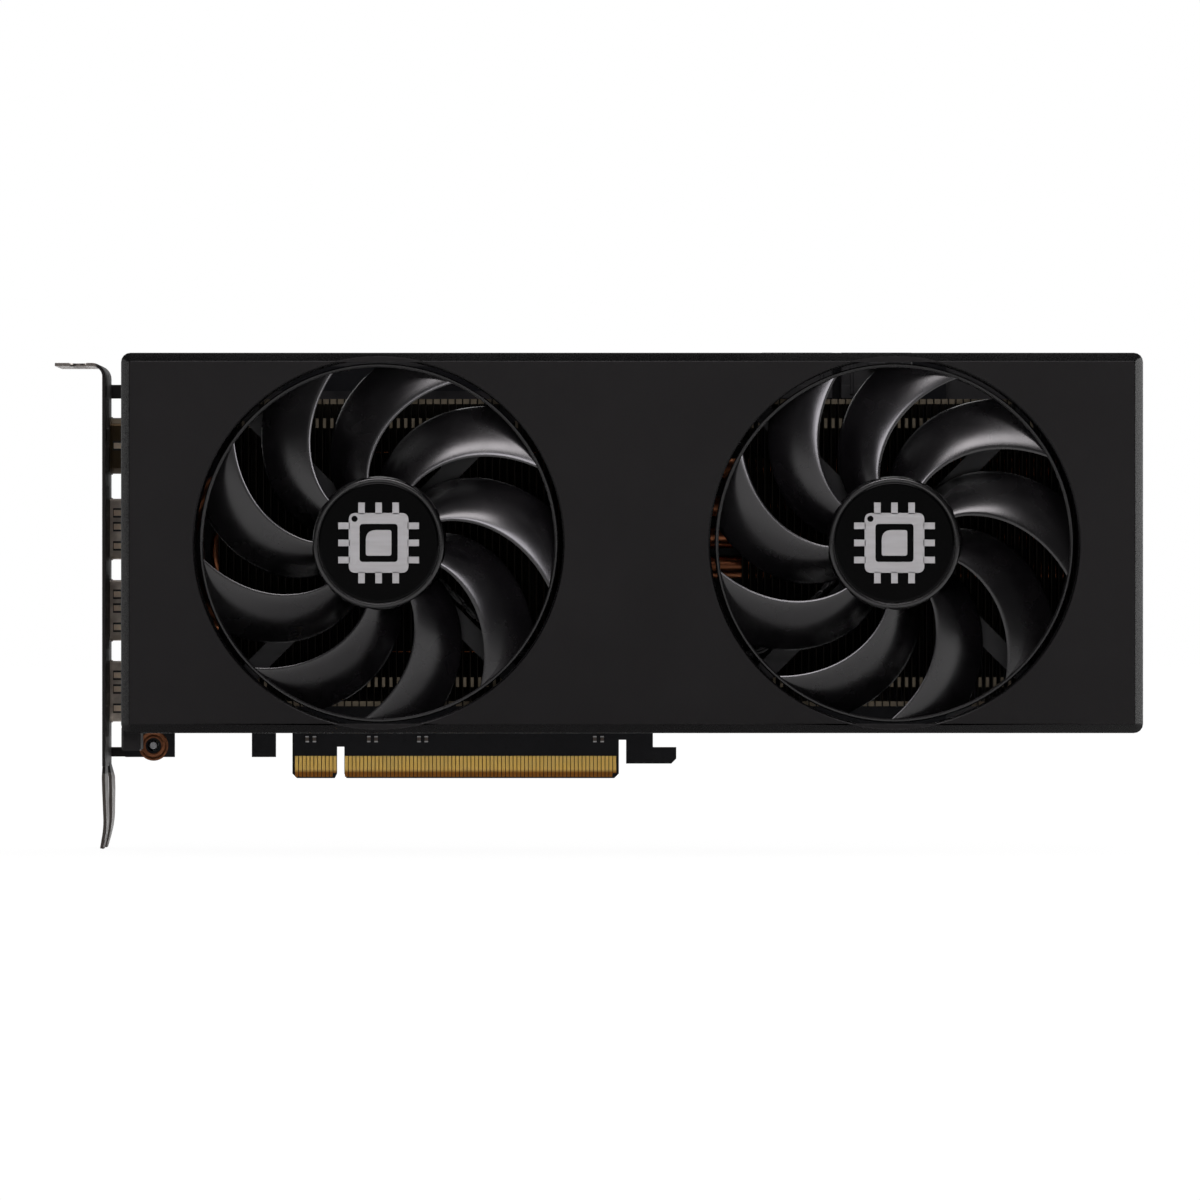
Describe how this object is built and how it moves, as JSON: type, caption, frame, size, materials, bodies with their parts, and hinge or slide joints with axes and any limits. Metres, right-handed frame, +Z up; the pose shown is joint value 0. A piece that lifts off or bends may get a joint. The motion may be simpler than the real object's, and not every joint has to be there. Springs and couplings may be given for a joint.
{
  "type": "graphics card",
  "caption": "Expansion graphics card with a black open-air cooler, finned heat sink, paired axial fans, slot bracket, edge connector and back plate.",
  "frame": {"origin": "middle of the slot connector's bottom edge, halfway through the board's thickness", "axes": "+X along the card away from the slot bracket, +Y out of the back plate (fans face -Y), +Z up from the slot"},
  "size_m": [0.2806, 0.0495, 0.1289],
  "materials": {
    "shroud_plastic": "fine moulded matte",
    "fan_plastic": "satin",
    "badge_plastic": "polished",
    "board_mask": "solder mask over glass laminate",
    "contact_gold": "gold plated",
    "copper": "bare copper",
    "bearing_bronze": "sintered",
    "plated_shell": "nickel plated",
    "fin_aluminium": "mill finish",
    "cooling_plate": "blasted",
    "backplate_paint": "fine powder coat",
    "bracket_steel": "zinc plated, plate coated black",
    "spring_steel": "satin",
    "screw_steel": "black oxide",
    "chip_resin": "moulded epoxy",
    "socket_plastic": "moulded nylon",
    "ferrite": "pressed",
    "cable_jacket": "matte"
  },
  "bodies": {
    "card": {"shroud": "shroud_plastic", "pcb": "board_mask", "edge_contacts_front": "contact_gold", "edge_contacts_back": "contact_gold", "gpu_package": "chip_resin", "fan_header": "socket_plastic", "memory_plate": "cooling_plate", "cold_plate": "copper", "fin_stack_left": "fin_aluminium", "fin_stack_right": "fin_aluminium", "backplate": "backplate_paint", "spring_bracket": "spring_steel", "io_bracket": "bracket_steel", "memory_chip_1": "chip_resin", "backplate_screw_1": "screw_steel", "memory_chip_2": "chip_resin", "backplate_screw_2": "screw_steel", "memory_chip_3": "chip_resin", "backplate_screw_3": "screw_steel", "memory_chip_4": "chip_resin", "backplate_screw_4": "screw_steel", "memory_chip_5": "chip_resin", "backplate_screw_5": "screw_steel", "memory_chip_6": "chip_resin", "backplate_screw_6": "screw_steel", "choke_1": "ferrite", "choke_2": "ferrite", "choke_3": "ferrite", "video_port_1": "plated_shell", "heat_pipe_1": "copper", "spring_screw_1": "spring_steel", "video_port_2": "plated_shell", "heat_pipe_2": "copper", "spring_screw_2": "spring_steel", "video_port_3": "plated_shell", "heat_pipe_3": "copper", "spring_screw_3": "spring_steel", "video_port_4": "plated_shell", "heat_pipe_4": "copper", "spring_screw_4": "spring_steel", "power_socket_1": "socket_plastic", "bracket_screw_1": "spring_steel", "power_socket_2": "socket_plastic", "bracket_screw_2": "spring_steel", "fan_left_frame": "fan_plastic", "fan_left_stator": "copper", "fan_left_bearing": "bearing_bronze", "fan_left_cable": "cable_jacket", "fan_right_frame": "fan_plastic", "fan_right_stator": "copper", "fan_right_bearing": "bearing_bronze", "fan_right_cable": "cable_jacket"},
    "fan_left_spinner": {"fan_left_rotor": "fan_plastic", "fan_left_badge": "badge_plastic", "fan_left_shaft": "spring_steel", "fan_left_magnet": "ferrite"},
    "fan_right_spinner": {"fan_right_rotor": "fan_plastic", "fan_right_badge": "badge_plastic", "fan_right_shaft": "spring_steel", "fan_right_magnet": "ferrite"}
  },
  "joints": [
    {"name": "fan_left_spin", "type": "hinge", "parent": "card", "child": "fan_left_spinner", "pos_m": [-0.0193, 0, 0.0612], "axis": [0, 1, 0], "continuous": true},
    {"name": "fan_right_spin", "type": "hinge", "parent": "card", "child": "fan_right_spinner", "pos_m": [0.1135, 0, 0.0612], "axis": [0, 1, 0], "continuous": true}
  ]
}
